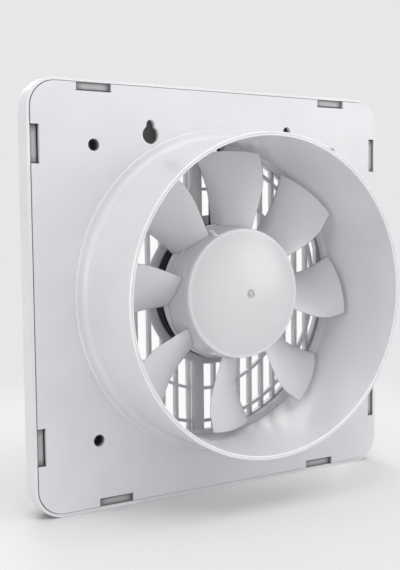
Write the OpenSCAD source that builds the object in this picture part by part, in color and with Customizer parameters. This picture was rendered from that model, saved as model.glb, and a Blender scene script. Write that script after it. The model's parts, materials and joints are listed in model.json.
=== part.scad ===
// Wall and window exhaust fan: a square front cover with a barred grille, a flat wall plate with a
// long round duct spigot, and an eight-blade axial impeller on a motor held in the air path.
// Drawn with x across, y up and z out of the wall into the room, then turned to stand upright.

/* [Front cover] */
// Width of the front cover
cover_w = 201.6; // [198:0.2:212]
// Height of the front cover
cover_h = 199.6; // [198:0.2:212]
// Depth of the cover from the wall to its front face
cover_d = 18; // [17.5:0.5:26]
// Corner radius of the cover seen from the front
cover_corner_r = 14; // [12:1:20]
// Radius of the rounded front edge
cover_edge_r = 8; // [5:0.5:10]
// Wall thickness of the cover
cover_wall = 1.5; // [1.3:0.1:1.8]
// Diameter of the round grille opening
grille_d = 146; // [138:1:152]
// Distance from bar to bar
bar_pitch = 7.5; // [6:0.1:10]
// Width of one grille bar
bar_w = 1.6; // [1.2:0.1:2.4]
// Depth of one grille bar
bar_d = 3; // [2:0.1:3.4]
// Diameters of the thin rings that tie the bars together
ring_ds = [66, 104, 138]; // [40:1:140]

/* [Wall plate] */
// Thickness of the wall plate
plate_t = 2.2; // [1.8:0.1:3]
// Gap between the plate's edge and the cover's wall
seat_gap = 0.3; // [0.2:0.05:0.5]
// Distance from the centre to each screw hole, sideways
hole_x = 69; // [64:0.5:74]
// Distance from the middle of the hole pattern to each screw hole, up and down
hole_y = 68.4; // [64:0.2:71]
// Height of the hole and notch pattern above the fan's axis
pattern_up = 1.8; // [0:0.1:2.4]
// Diameter of the screw holes
hole_d = 5.6; // [4:0.1:6.4]
// Length of each clip notch along the plate's edge
notch_l = 17.4; // [12:0.2:20]
// Depth of each clip notch into the plate
notch_w = 3.8; // [3:0.1:4.2]
// Sideways distance of the keyholes from the centre
keyhole_x = 39.7; // [34:0.5:46]
// Height of the narrow end of the keyholes
keyhole_y = 80.6; // [79:0.2:83]
// Diameter of the keyholes' wide end
keyhole_d = 8.5; // [7:0.1:9]
// Diameter of the keyholes' narrow end
keyhole_neck_d = 4.4; // [3.5:0.1:5]

/* [Duct spigot] */
// Outer diameter of the duct spigot
duct_d = 150; // [146:0.5:151]
// Length of the spigot behind the wall plate
duct_l = 46; // [30:1:120]
// Wall thickness of the spigot
duct_wall = 1.9; // [1.6:0.1:2.4]
// Outer diameter of the spigot's foot on the plate
foot_d = 160.4; // [156:0.2:162]
// Depth of the collar in front of the wall plane
collar_d = 10; // [9.5:0.1:10.5]
// Diameter of the air inlet at the collar's lip
inlet_d = 142.4; // [141:0.2:144]

/* [Impeller] */
// Number of blades
blade_count = 8; // [5:1:9]
// Tip diameter of the impeller
impeller_d = 138; // [130:0.5:139]
// Diameter of the hub skirt at its open end
hub_d = 67.6; // [67.2:0.2:69.6]
// Diameter of the hub at its rounded shoulder
shoulder_d = 63; // [61:0.5:65]
// Distance of the nose of the hub behind the wall plane
nose_y = 24.5; // [23.5:0.5:30]
// Depth of a blade from its leading to its trailing edge
blade_d = 14; // [10:0.5:16]
// Thickness of a blade at its root
blade_root_t = 2.2; // [1.6:0.1:3]
// Thickness of a blade at its tip
blade_tip_t = 1.3; // [1:0.1:2]
// Height of the blade's arch above its chord
blade_camber = 1.6; // [0:0.1:2.5]
// Angle by which the first blade is turned
blade_phase = -0.8; // [-22:0.1:22]

/* [Motor] */
// Diameter of the motor's rear shell
motor_d = 66; // [65:0.2:66.6]
// Diameter of the motor's front shell, inside the hub
motor_front_d = 56; // [55:0.2:58]
// Diameter of the motor shaft
shaft_d = 5; // [4:0.1:6]
// Diameter of the rotor
rotor_d = 26; // [24:0.2:27]
// Air gap between rotor and stator
air_gap = 0.35; // [0.3:0.05:0.5]
// Running clearance of the shaft in its bushes, on the radius
running_fit = 0.03; // [0.02:0.01:0.06]

/* [Motor bracket] */
// Width of the motor seat's rim round the motor
seat_rim = 4.4; // [3.4:0.1:6]
// Distance of each upright arm from the centre line
arm_x = 8.6; // [8.2:0.1:11]
// Width of an arm
arm_w = 5.4; // [5:0.1:7]
// Depth of an arm
arm_d = 3.2; // [2.6:0.1:3.6]

/* [Wiring] */
// Diameter of an inner lead
lead_d = 1.8; // [1.4:0.1:1.9]
// Diameter of the cable entry
entry_d = 9; // [7:0.2:9.4]

/* [Hidden] */
$fn = 96;

// Overrun of a cut past the face that it opens
over = 0.5;
// Gap between pieces that are placed by hand and only lie beside each other
loose = 0.2;

// Front cover and plate
plate_corner_r = cover_corner_r - cover_wall - seat_gap;
plate_x = cover_w / 2 - cover_wall - seat_gap;
plate_y = cover_h / 2 - cover_wall - seat_gap;
rim_recess = 0.6;
panel_t = 2.4;
bezel_w = 4;
bezel_h = 1.2;
ring_w = 1.5;
ring_d = 2;
lug_side_gap = 0.3;
lug_l = notch_l - 2 * lug_side_gap;
lug_gap = 0.4;
lug_drop = 1.8;
lug_tip = 2.6;
lug_h = 7.5;
// Middle of each notch, measured along its edge from the centre line
top_notch_x = 68.5;
bottom_notch_x = 60.5;
side_notch_y = 68;

// Plate details
plate_rib_t = 1.6;
plate_rib_h = 4.8;
plate_rib_inset = 0.6;
boss_d = 10.4;
boss_h = 7.8;
web_t = 1.4;
web_h = 3.2;
keyhole_drop = 4.8;
// Depth inside the plate from which ribs, bosses and posts grow
root_z = plate_t / 2;

// Spigot details
duct_r = duct_d / 2;
bore_r = duct_r - duct_wall;
foot_h = 1.6;
foot_step = 0.9;
foot_fillet = 3;
lip_chamfer = 0.3;
lip_groove_w = 0.5;
lip_groove_d = 0.4;
collar_wall = 2.9;
collar_r = bore_r + collar_wall;
inlet_lip = 3;
inlet_taper = 1.4;

// Motor bracket, from the wall plane into the room
arm_z = collar_d;
foot_screw_out = 3.5;
arm_out = 7.5;
foot_screw_y = collar_r + foot_screw_out;
arm_end = collar_r + arm_out;
foot_boss_d = 7;
foot_screw_bite = 5;
screw_core_d = 2.4;
screw_d = 3;
screw_head_d = 5.4;
screw_head_h = 1.5;
screw_clear = 0.25;
lead_gate_w = 11;
lead_gate_z = 4.5;
seat_wall_z = 10.2;
seat_floor_z = 11;
seat_floor_t = 1.8;
seat_hole_d = 18;
seat_gap_r = 0.6;
seat_d = motor_d + 2 * (seat_gap_r + seat_rim);

// Motor
shell_t = 1.6;
shell_split_z = 6.4;
motor_front_z = -12;
boss_front_z = -15;
bearing_boss_d = 15.4;
bearing_boss_z = 5;
bearing_boss_end = 13.6;
bush_d = 10;
front_bush_z = -9.6;
rear_bush_z = 5.6;
bush_l = 5.6;
washer_d = 9;
washer_t = 0.6;
clip_z = 11.9;
clip_t = 0.6;
clip_d = 9;
cap_t = 0.6;
shaft_end_z = 12.6;
shaft_tip_z = -21.6;
core_z = -7.8;
core_l = 12;
core_d = 51.6;
yoke_w = 6;
pole_w = 8;
pole_count = 4;
shoe_t = 2;
shoe_share = 0.78;
bobbin_t = 0.9;
winding_t = 1.3;
winding_gap = 0.6;
end_ring_h = 1;
bolt_r = 23;
bolt_d = 2.8;
bolt_head_h = 1.2;
vent_count = 10;
vent_w = 3;
mount_screw_inset = 5.5;
mount_screw_r = motor_d / 2 - mount_screw_inset;
mount_screw_count = 3;
mount_screw_turn = 30;
grommet_d = 6.4;
fuse_d = 3.8;
fuse_l = 8;
fuse_y = 14.5;

// Hub
skirt_z = 1.6;
skirt_step = 0.8;
skirt_step_z = -1.6;
skirt_second_z = -4.8;
shoulder_z = -15.2;
shoulder_r = 5;
hub_wall = 1.8;
hub_gap = 3.2;
hub_bore_r = motor_front_d / 2 + hub_gap;
hub_boss_d = 12;
hub_boss_z = -16;
hub_rib_count = 8;
hub_rib_t = 1.2;
insert_d = 8;
gate_d = 4.6;
gate_depth = 0.6;
gate_pip_d = 1.5;
leading_z = 1.5;

// Wiring bay, on the side away from the keyhole view
bay_gap = 3.6;
bay_middle = 7.4;
bay_in_x = -collar_r - bay_gap;
bay_x = bay_in_x - bay_middle;
bay_top_y = 22;
bay_low_y = -38;
bay_wall = 1.4;
bay_h = 8.2;
block_w = 10;
block_l = 22;
block_y = -6;
block_h = 7.6;
well_d = 3.6;
well_pitch_y = 8;
funnel_d = 2.4;
terminal_screw_d = 3.2;
terminal_screw_h = 2.6;
lid_t = 1.6;
lid_screw_y = -34.4;
lid_groove_count = 5;
lid_groove_w = 1.4;
lid_groove_pitch = 5.6;
lid_groove_inset = 2.8;
post_d = 4.6;
clamp_y = -14;
clamp_w = 3.4;
clamp_t = 2;
clamp_span = 8;
clamp_arch_d = 4.2;
clamp_post_d = 3.6;
clamp_screw_d = 2;
post_h = 4.4;
entry_y = -24;
grommet_lip = 1.2;
grommet_lip_t = 1.2;
grommet_bore_d = 6.2;

// Inner leads: they leave the motor at the top, pass between the upper arms and through the
// collar, and run round the collar to the terminal block
lead_x = 2.6;
lead_z = 7.4;
lead_low_z = 5.2;
lead_sides = 8;
saddle_angles = [122, 147];
saddle_w = 2.4;
saddle_tooth = 0.9;
saddle_tooth_h = 1.6;
lead_gap = 4;
lead_pitch = 3;
neutral_ring_r = collar_r + lead_gap;
live_ring_r = neutral_ring_r + lead_pitch;
live_turn = [[2.6, 46, 7.4], [2.6, 64, 7.4], [2.6, 76, 7.4], [2.2, 81, 7.4], [-0.4, 85.6, 7.4],
    [-5, 87.6, 7.4], [-10.4, 87.4, 7.4], [-16, 85.4, 7.4], [-22, 82.2, 7.4], [-27.4, 79.2, 7.4]];
neutral_turn = [[-2.6, 46, 7.4], [-2.6, 64, 7.4], [-2.6, 76, 7.4], [-3, 80.4, 7.4],
    [-5, 83.8, 7.4], [-8.6, 85, 7.4], [-13, 84, 7.4], [-18, 81.2, 7.4], [-23.4, 77.8, 7.4]];
live_entry = [[7, 30.2, 7.3], [3.6, 27.2, 7], [1.2, 23, 6.2], [0, 19, 5.2]];
neutral_entry = [[3, 24.6, 6.8], [1, 21.4, 5.8], [0, 18.4, 5.2]];
live_from = 112;
neutral_from = 110;
live_to = 154;
neutral_to = 162;
ring_step = 6;

// Draws a piece as seen from the room, with depth z, and stands it upright
module upright() {
    rotate([90, 0, 0]) children();
}

// Rounded rectangle of half width a and half height b
module rounded_panel(a, b, r) {
    square([2 * a, 2 * (b - r)], center = true);
    square([2 * (a - r), 2 * b], center = true);
    for (sx = [-1, 1], sy = [-1, 1])
        translate([sx * (a - r), sy * (b - r)]) circle(r);
}

// Runs a profile round a rounded rectangle; its x counts outward from the corner centre
module around_panel(a, b, r) {
    for (turn = [0 : 90 : 270]) {
        out = turn % 180 == 0 ? a - r : b - r;
        up = turn % 180 == 0 ? b - r : a - r;
        rotate(turn)
            translate([out, up, 0]) {
                rotate_extrude(angle = 90) children();
                rotate([90, 0, 0]) linear_extrude(height = 2 * up) children();
            }
    }
}

// Ring from radius r1 to r2 between two depths
module ring(r1, r2, z1, z2) {
    translate([0, 0, z1])
        difference() {
            cylinder(r = r2, h = z2 - z1);
            translate([0, 0, -over]) cylinder(r = r1, h = z2 - z1 + 2 * over);
        }
}

// Block between two corners
module block(low, high) {
    translate(low) cube(high - low);
}

// Places children at the middle of each clip notch, with x pointing out over the edge
module at_notches() {
    for (s = [-1, 1]) {
        translate([s * top_notch_x, plate_y, 0]) rotate(90) children();
        translate([s * bottom_notch_x, -plate_y, 0]) rotate(-90) children();
        translate([plate_x, pattern_up + s * side_notch_y, 0]) children();
        translate([-plate_x, pattern_up + s * side_notch_y, 0]) rotate(180) children();
    }
}

// Places children at the four screw holes of the plate
module at_holes() {
    for (sx = [-1, 1], sy = [-1, 1])
        translate([sx * hole_x, pattern_up + sy * hole_y, 0]) children();
}

// Pan-head screw with its head's underside at depth z, running back towards the wall
module pan_screw(z, length, d, head_d, head_h) {
    translate([0, 0, z - length]) cylinder(d = d, h = length + over / 2);
    translate([0, 0, z])
        difference() {
            rotate_extrude()
                polygon([[0, 0], [head_d / 2, 0], [head_d / 2, head_h * 0.45],
                    [head_d * 0.36, head_h * 0.9], [head_d * 0.2, head_h], [0, head_h]]);
            for (turn = [0, 90])
                rotate(turn)
                    translate([0, 0, head_h])
                        cube([head_d * 0.62, head_d * 0.14, head_h * 0.9], center = true);
        }
}

// Wall plate with its clip notches, screw bosses and keyholes, and the duct spigot through it
module plate_blank() {
    linear_extrude(height = plate_t) rounded_panel(plate_x, plate_y, plate_corner_r);
    rib_inset = notch_w + plate_rib_inset;
    rib_corner = plate_corner_r - notch_w;
    translate([0, 0, root_z])
        linear_extrude(height = plate_t + plate_rib_h - root_z)
            difference() {
                rounded_panel(plate_x - rib_inset, plate_y - rib_inset, rib_corner);
                rounded_panel(plate_x - rib_inset - plate_rib_t, plate_y - rib_inset - plate_rib_t,
                    rib_corner - plate_rib_t);
            }
    at_holes() translate([0, 0, root_z]) cylinder(d = boss_d, h = plate_t + boss_h - root_z);
    for (sx = [-1, 1], sy = [-1, 1]) {
        hole = [sx * hole_x, pattern_up + sy * hole_y];
        rotate(atan2(hole[1], hole[0]))
            block([collar_r - web_t, -web_t / 2, root_z], [norm(hole), web_t / 2, plate_t + web_h]);
    }
    for (sx = [-1, 1], sy = [-1, 1])
        translate([sx * arm_x, sy * foot_screw_y, root_z])
            cylinder(d = foot_boss_d, h = collar_d - root_z);
}

// Saddle that holds both leads beside the collar
module lead_saddle() {
    base_z = lead_z - lead_d / 2 - loose / 2;
    side = lead_d / 2 + loose;
    middle = (live_ring_r + neutral_ring_r) / 2;
    in_r = neutral_ring_r - side - saddle_tooth;
    out_r = live_ring_r + side + saddle_tooth;
    block([in_r, -saddle_w / 2, root_z], [out_r, saddle_w / 2, base_z]);
    for (r = [in_r, middle - saddle_tooth / 2, out_r - saddle_tooth])
        block([r, -saddle_w / 2, base_z - over], [r + saddle_tooth, saddle_w / 2, base_z + saddle_tooth_h]);
}

// Wiring bay walls, clamp posts and lid post on the plate
module bay_walls() {
    rib_in = plate_x - notch_w - plate_rib_inset - plate_rib_t / 2;
    top = plate_t + bay_h;
    block([bay_in_x - bay_wall, bay_low_y, root_z], [bay_in_x, bay_top_y, top]);
    block([-rib_in, bay_low_y, root_z], [bay_in_x, bay_low_y + bay_wall, top]);
    block([-rib_in, bay_top_y - bay_wall, root_z], [bay_in_x, bay_top_y, top]);
    for (s = [-1, 1])
        translate([bay_x + s * clamp_span / 2, clamp_y, root_z])
            cylinder(d = clamp_post_d, h = plate_t + post_h - root_z);
    translate([bay_x, lid_screw_y, root_z]) cylinder(d = post_d, h = top - root_z);
}

module spigot_profile() {
    lip_mid = (duct_r + bore_r) / 2;
    polygon(concat(
        [[inlet_d / 2, collar_d], [collar_r - lip_chamfer, collar_d],
         [collar_r, collar_d - lip_chamfer], [collar_r, 0], [foot_d / 2, 0],
         [foot_d / 2, -foot_h + foot_step / 2], [foot_d / 2 - foot_step, -foot_h],
         [duct_r + foot_fillet, -foot_h]],
        [for (t = [10 : 10 : 90]) [duct_r + foot_fillet * (1 - sin(t)),
            -foot_h - foot_fillet * (1 - cos(t))]],
        [[duct_r, -duct_l + lip_chamfer], [duct_r - lip_chamfer, -duct_l],
         [lip_mid + lip_groove_w / 2, -duct_l], [lip_mid + lip_groove_w / 2, -duct_l + lip_groove_d],
         [lip_mid - lip_groove_w / 2, -duct_l + lip_groove_d], [lip_mid - lip_groove_w / 2, -duct_l],
         [bore_r + lip_chamfer, -duct_l], [bore_r, -duct_l + lip_chamfer],
         [bore_r, collar_d - inlet_lip - inlet_taper], [inlet_d / 2, collar_d - inlet_lip]]));
}

module keyhole_cut() {
    translate([0, 0, -over]) {
        cylinder(d = keyhole_neck_d, h = plate_t + 2 * over);
        translate([0, -keyhole_drop, 0]) cylinder(d = keyhole_d, h = plate_t + 2 * over);
        translate([-keyhole_neck_d / 2, -keyhole_drop, 0])
            cube([keyhole_neck_d, keyhole_drop, plate_t + 2 * over]);
    }
}

module back_housing() {
    color([0.84, 0.84, 0.85]) upright()
        difference() {
            union() {
                difference() {
                    union() {
                        plate_blank();
                        bay_walls();
                        for (a = saddle_angles) rotate(a) lead_saddle();
                    }
                    translate([0, 0, -over]) cylinder(r = bore_r + duct_wall / 2, h = cover_d);
                }
                rotate_extrude() spigot_profile();
            }
            at_notches()
                block([-notch_w, -notch_l / 2, -over], [over, notch_l / 2, plate_t + over]);
            at_holes() translate([0, 0, -over]) cylinder(d = hole_d, h = plate_t + boss_h + 2 * over);
            for (sx = [-1, 1]) translate([sx * keyhole_x, keyhole_y, 0]) keyhole_cut();
            for (sx = [-1, 1], sy = [-1, 1])
                translate([sx * arm_x, sy * foot_screw_y, plate_t])
                    cylinder(d = screw_d, h = collar_d);
            block([-lead_gate_w / 2, inlet_d / 2 - 2 * over, lead_gate_z],
                [lead_gate_w / 2, collar_r + over, collar_d + over]);
            translate([bay_x, entry_y, -over]) cylinder(d = entry_d, h = plate_t + 2 * over);
            for (s = [-1, 1])
                translate([bay_x + s * clamp_span / 2, clamp_y, plate_t])
                    cylinder(d = clamp_screw_d, h = post_h + over);
            translate([bay_x, lid_screw_y, plate_t]) cylinder(d = screw_core_d, h = bay_h + over);
            block([bay_x - block_w / 2, bay_top_y - bay_wall - over, lead_low_z - lead_d],
                [bay_x + block_w / 2, bay_top_y + over, plate_t + bay_h + over]);
        }
}

// Cover shell: side wall, rounded front edge and front panel, run round the square
module cover_profile() {
    r = cover_corner_r;
    e = cover_edge_r;
    inner_e = e - cover_wall;
    polygon(concat(
        [[0, cover_d - panel_t], [r - e, cover_d - panel_t]],
        [for (t = [10 : 10 : 80]) [r - e + inner_e * sin(t),
            cover_d - e + (e - panel_t) * cos(t)]],
        [[r - cover_wall, cover_d - e], [r - cover_wall, rim_recess], [r, rim_recess]],
        [for (t = [0 : 10 : 80]) [r - e + e * cos(t), cover_d - e + e * sin(t)]],
        [[r - e, cover_d], [0, cover_d]]));
}

module grille_bars() {
    reach = grille_d / 2;
    side_count = floor((reach - bar_w) / bar_pitch + 0.5);
    intersection() {
        for (i = [1 : side_count], side = [-1, 1])
            translate([side * (i - 0.5) * bar_pitch - bar_w / 2, -reach - bezel_w, cover_d - bar_d])
                cube([bar_w, 2 * (reach + bezel_w), bar_d]);
        translate([0, 0, cover_d - bar_d]) cylinder(r = reach + bezel_w / 2, h = bar_d);
    }
    for (d = ring_ds) ring(d / 2 - ring_w, d / 2, cover_d - bar_d, cover_d - bar_d + ring_d);
}

module clip_lug() {
    base = seat_gap;
    reach = notch_w - lug_gap;
    rotate([90, 0, 0])
        translate([0, 0, -lug_l / 2])
            linear_extrude(height = lug_l)
                polygon([[base + over, lug_drop], [-reach + over, lug_drop], [-reach, lug_drop + over],
                    [-reach, lug_tip], [-reach + lug_tip, lug_tip + over], [base + over, lug_h]]);
}

module front_cover() {
    panel_x = cover_w / 2 - cover_corner_r;
    panel_y = cover_h / 2 - cover_corner_r;
    color([0.93, 0.93, 0.94]) upright() {
        difference() {
            union() {
                around_panel(cover_w / 2, cover_h / 2, cover_corner_r) cover_profile();
                block([-panel_x, -panel_y, cover_d - panel_t], [panel_x, panel_y, cover_d]);
                rotate_extrude()
                    polygon(concat([[grille_d / 2 - over, cover_d - bar_d],
                        [grille_d / 2 + bezel_w, cover_d - bar_d]],
                        [for (t = [0 : 15 : 180]) [grille_d / 2 + bezel_w / 2 + bezel_w / 2 * cos(t),
                            cover_d + bezel_h * sin(t)]]));
            }
            translate([0, 0, cover_d - bar_d - over])
                cylinder(d = grille_d, h = bar_d + bezel_h + 2 * over);
        }
        grille_bars();
        at_notches() clip_lug();
    }
}

// Motor bracket: a round seat on two pairs of upright arms that lie on the collar
module bracket_arm() {
    translate([-arm_w / 2, 0, arm_z]) cube([arm_w, arm_end - arm_w / 2, arm_d]);
    translate([0, arm_end - arm_w / 2, arm_z]) cylinder(d = arm_w, h = arm_d);
}

module motor_bracket() {
    seat_r = seat_d / 2;
    seat_in = motor_d / 2 + seat_gap_r;
    color([0.78, 0.78, 0.79]) upright()
        difference() {
            union() {
                rotate_extrude()
                    polygon([[seat_hole_d / 2, seat_floor_z], [seat_in, seat_floor_z],
                        [seat_in, seat_wall_z], [seat_r - skirt_step, seat_wall_z],
                        [seat_r, seat_wall_z + skirt_step], [seat_r, seat_floor_z],
                        [seat_r - skirt_step, seat_floor_z + seat_floor_t],
                        [seat_hole_d / 2, seat_floor_z + seat_floor_t]]);
                difference() {
                    for (sx = [-1, 1], turn = [0, 180])
                        rotate(turn) translate([sx * arm_x, 0, 0]) bracket_arm();
                    translate([0, 0, arm_z - over])
                        cylinder(r = seat_in + over, h = arm_d + 2 * over);
                }
            }
            for (sx = [-1, 1], sy = [-1, 1])
                translate([sx * arm_x, sy * foot_screw_y, arm_z - over])
                    cylinder(d = screw_d + 2 * screw_clear, h = arm_d + 2 * over);
            at_mount_screws()
                translate([0, 0, seat_floor_z - over])
                    cylinder(d = grommet_d - 2 * screw_clear - over, h = seat_floor_t + 2 * over);
        }
}

module at_mount_screws() {
    for (i = [0 : mount_screw_count - 1])
        rotate(mount_screw_turn + i * 360 / mount_screw_count)
            translate([mount_screw_r, 0, 0]) children();
}

module bracket_screws() {
    color([0.72, 0.72, 0.74]) upright()
        for (sx = [-1, 1], sy = [-1, 1])
            translate([sx * arm_x, sy * foot_screw_y, 0])
                pan_screw(arm_z + arm_d, arm_d + foot_screw_bite, screw_d, screw_head_d, screw_head_h);
}

// Rubber collars that hold the motor's screws in the seat
module motor_grommets() {
    neck = grommet_d - 2 * screw_clear - over;
    color([0.12, 0.12, 0.13]) upright()
        at_mount_screws()
            difference() {
                union() {
                    translate([0, 0, seat_floor_z]) cylinder(d = neck, h = seat_floor_t);
                    translate([0, 0, seat_floor_z + seat_floor_t])
                        cylinder(d = grommet_d, h = washer_t);
                }
                translate([0, 0, seat_floor_z - over])
                    cylinder(d = screw_d, h = seat_floor_t + washer_t + 2 * over);
            }
}

module motor_screws() {
    color([0.72, 0.72, 0.74]) upright()
        at_mount_screws()
            pan_screw(seat_floor_z + seat_floor_t + washer_t, seat_floor_t + washer_t + shell_t,
                screw_d, screw_head_d, screw_head_h - washer_t / 2);
}

// Motor shells: two deep cups that meet on a flat joint and hold a bush each
module motor_rear_shell() {
    color([0.09, 0.09, 0.1]) upright()
        difference() {
            union() {
                rotate_extrude()
                    polygon([[0, seat_floor_z - shell_t], [motor_d / 2 - shell_t, seat_floor_z - shell_t],
                        [motor_d / 2 - shell_t, shell_split_z], [motor_d / 2, shell_split_z],
                        [motor_d / 2, seat_floor_z - over], [motor_d / 2 - over, seat_floor_z],
                        [0, seat_floor_z]]);
                translate([0, 0, bearing_boss_z])
                    cylinder(d = bearing_boss_d, h = bearing_boss_end - bearing_boss_z);
            }
            translate([0, 0, bearing_boss_z - over])
                cylinder(d = bush_d, h = bearing_boss_end - bearing_boss_z + 2 * over);
            at_mount_screws()
                translate([0, 0, seat_floor_z - shell_t - over])
                    cylinder(d = screw_d, h = shell_t + 2 * over);
            for (s = [-1, 1])
                translate([s * bolt_r, 0, seat_floor_z - shell_t - over])
                    cylinder(d = bolt_d, h = shell_t + 2 * over);
            block([-lead_x - lead_d, motor_d / 2 - 2 * shell_t, shell_split_z - over],
                [lead_x + lead_d, motor_d / 2 + over, lead_z + lead_d / 2 + loose]);
        }
}

module motor_front_shell() {
    r = motor_front_d / 2;
    color([0.09, 0.09, 0.1]) upright()
        difference() {
            union() {
                rotate_extrude()
                    polygon([[0, motor_front_z], [r - shell_t, motor_front_z], [r, motor_front_z + shell_t],
                        [r, shell_split_z - shell_t], [motor_d / 2 - loose, shell_split_z - shell_t / 2],
                        [motor_d / 2 - loose, shell_split_z],
                        [r - shell_t, shell_split_z], [r - shell_t, motor_front_z + shell_t],
                        [0, motor_front_z + shell_t]]);
                translate([0, 0, boss_front_z])
                    cylinder(d = bearing_boss_d, h = front_bush_z + over - boss_front_z);
            }
            translate([0, 0, boss_front_z - over])
                cylinder(d = bush_d, h = front_bush_z - boss_front_z + 3 * over);
            for (s = [-1, 1])
                translate([s * bolt_r, 0, motor_front_z - over])
                    cylinder(d = bolt_d, h = shell_t + 2 * over);
            for (i = [0 : vent_count - 1])
                rotate((i + 0.5) * 360 / vent_count)
                    block([bearing_boss_d * 0.75, -vent_w / 2, motor_front_z - over],
                        [r * 0.72, vent_w / 2, motor_front_z + shell_t + over]);
        }
}

module through_bolts() {
    color([0.62, 0.62, 0.64]) upright()
        for (s = [-1, 1])
            translate([s * bolt_r, 0, 0]) {
                translate([0, 0, motor_front_z])
                    cylinder(d = bolt_d, h = seat_floor_z - motor_front_z);
                translate([0, 0, motor_front_z - bolt_head_h])
                    cylinder(d = screw_head_d, h = bolt_head_h, $fn = 6);
            }
}

// Stator: a yoke with four poles between the hub's centre lines
stator_bore_r = rotor_d / 2 + air_gap;

module at_poles() {
    for (i = [0 : pole_count - 1]) rotate(45 + i * 360 / pole_count) children();
}

module stator_core() {
    shoe_angle = 360 / pole_count * shoe_share;
    color([0.45, 0.46, 0.48]) upright()
        translate([0, 0, core_z])
            difference() {
                union() {
                    ring(core_d / 2 - yoke_w, core_d / 2, 0, core_l);
                    at_poles() {
                        block([stator_bore_r + shoe_t / 2, -pole_w / 2, 0],
                            [core_d / 2 - yoke_w / 2, pole_w / 2, core_l]);
                        rotate(-shoe_angle / 2)
                            rotate_extrude(angle = shoe_angle)
                                translate([stator_bore_r, 0]) square([shoe_t, core_l]);
                    }
                }
                for (s = [-1, 1])
                    translate([s * bolt_r, 0, -over]) cylinder(d = bolt_d + loose, h = core_l + 2 * over);
            }
}

module pole_sleeve(gap, wall, r1, r2) {
    low = [r1, -pole_w / 2 - gap - wall, core_z - gap - wall];
    high = [r2, pole_w / 2 + gap + wall, core_z + core_l + gap + wall];
    difference() {
        block(low, high);
        block([r1 - over, -pole_w / 2 - gap, core_z - gap],
            [r2 + over, pole_w / 2 + gap, core_z + core_l + gap]);
    }
}

bobbin_in = stator_bore_r + shoe_t + loose;
bobbin_half_w = pole_w / 2 + loose / 2 + bobbin_t;
slot_r = core_d / 2 - yoke_w - loose;
bobbin_out = sqrt(pow(slot_r, 2) - pow(bobbin_half_w, 2));
winding_out = sqrt(pow(slot_r, 2) - pow(bobbin_half_w + winding_t, 2));

module coil_bobbins() {
    color([0.85, 0.83, 0.76]) upright()
        at_poles() pole_sleeve(loose / 2, bobbin_t, bobbin_in, bobbin_out);
}

module stator_windings() {
    color([0.72, 0.4, 0.2]) upright()
        at_poles()
            pole_sleeve(loose / 2 + bobbin_t, winding_t, bobbin_in + winding_gap, winding_out);
}

module thermal_fuse() {
    color([0.75, 0.72, 0.66]) upright()
        translate([lead_x, fuse_y, lead_z - loose])
            rotate([-90, 0, 0]) cylinder(d = fuse_d, h = fuse_l);
}

module rotor() {
    color([0.58, 0.58, 0.6]) upright()
        difference() {
            union() {
                translate([0, 0, core_z]) cylinder(d = rotor_d, h = core_l);
                translate([0, 0, core_z - end_ring_h / 2])
                    cylinder(d = rotor_d - yoke_w / 2, h = core_l + end_ring_h);
            }
            translate([0, 0, core_z - end_ring_h]) cylinder(d = shaft_d, h = core_l + 2 * end_ring_h);
        }
}

module motor_shaft() {
    color([0.75, 0.76, 0.78]) upright()
        translate([0, 0, shaft_tip_z]) cylinder(d = shaft_d, h = shaft_end_z - shaft_tip_z);
}

module bush(z) {
    upright() ring(shaft_d / 2 + running_fit, bush_d / 2, z, z + bush_l);
}

module front_bush() {
    color([0.66, 0.5, 0.3]) bush(front_bush_z - bush_l);
}

module rear_bush() {
    color([0.66, 0.5, 0.3]) bush(rear_bush_z);
}

module thrust_washers() {
    front_z = core_z - end_ring_h / 2 - washer_t;
    rear_z = core_z + core_l + end_ring_h / 2;
    color([0.88, 0.86, 0.8]) upright() {
        ring(shaft_d / 2, washer_d / 2, front_z, front_z + washer_t);
        ring(shaft_d / 2, washer_d / 2, rear_z, rear_z + washer_t);
    }
}

module retaining_clip() {
    color([0.55, 0.56, 0.58]) upright()
        difference() {
            ring(shaft_d / 2, clip_d / 2, clip_z, clip_z + clip_t);
            block([-shaft_d * 0.35, 0, clip_z - over], [shaft_d * 0.35, clip_d, clip_z + clip_t + over]);
        }
}

module bearing_cap() {
    color([0.15, 0.15, 0.16]) upright()
        translate([0, 0, bearing_boss_end - cap_t]) cylinder(d = bush_d, h = cap_t);
}

// Impeller blade: sections on growing cylinders, joined into one skin
blade_root_r = hub_d / 2 - hub_wall;
blade_tip_r = impeller_d / 2;
blade_stations = 9;
section_points = 8;
// Angles of the trailing and leading edges from the blade's middle, from root to tip
trailing_shares = [1.34, 1.42, 1.46, 1.34, 1];
leading_shares = [0.8, 0.68, 0.66, 0.8, 1];
tip_half_angle = 12.5;
root_dip = 1.5;

function table_at(t, v) =
    let (n = len(v) - 1, i = min(floor(t * n), n - 1), f = t * n - i)
    v[i] * (1 - f) + v[i + 1] * f;
function smooth_at(t, v) = (table_at(max(t - 0.06, 0), v) + table_at(t, v)
    + table_at(min(t + 0.06, 1), v)) / 3;
function thickness_at(t) = blade_root_t + (blade_tip_t - blade_root_t) * t;
function edge_round(c) = sqrt(max(0, 1 - pow(abs(2 * c - 1), 6)));

// Point of a blade at share t of its length and share c of its chord, on side s
function blade_point(t, c, s) =
    let (
        low = -tip_half_angle * smooth_at(t, leading_shares),
        high = tip_half_angle * smooth_at(t, trailing_shares),
        r = blade_root_r + (blade_tip_r - blade_root_r) * t - (t == 0 ? root_dip * c : 0),
        pitch = atan2(blade_d, (high - low) * PI / 180 * r),
        arch = blade_camber * 4 * c * (1 - c) + s * thickness_at(t) / 2 * edge_round(c),
        along = (c - 0.5) * (high - low) + (high + low) / 2,
        angle = along - arch * sin(pitch) / r * 180 / PI,
        z = leading_z - blade_d * c - arch * cos(pitch)
    )
    [r * cos(angle), r * sin(angle), z];

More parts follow.
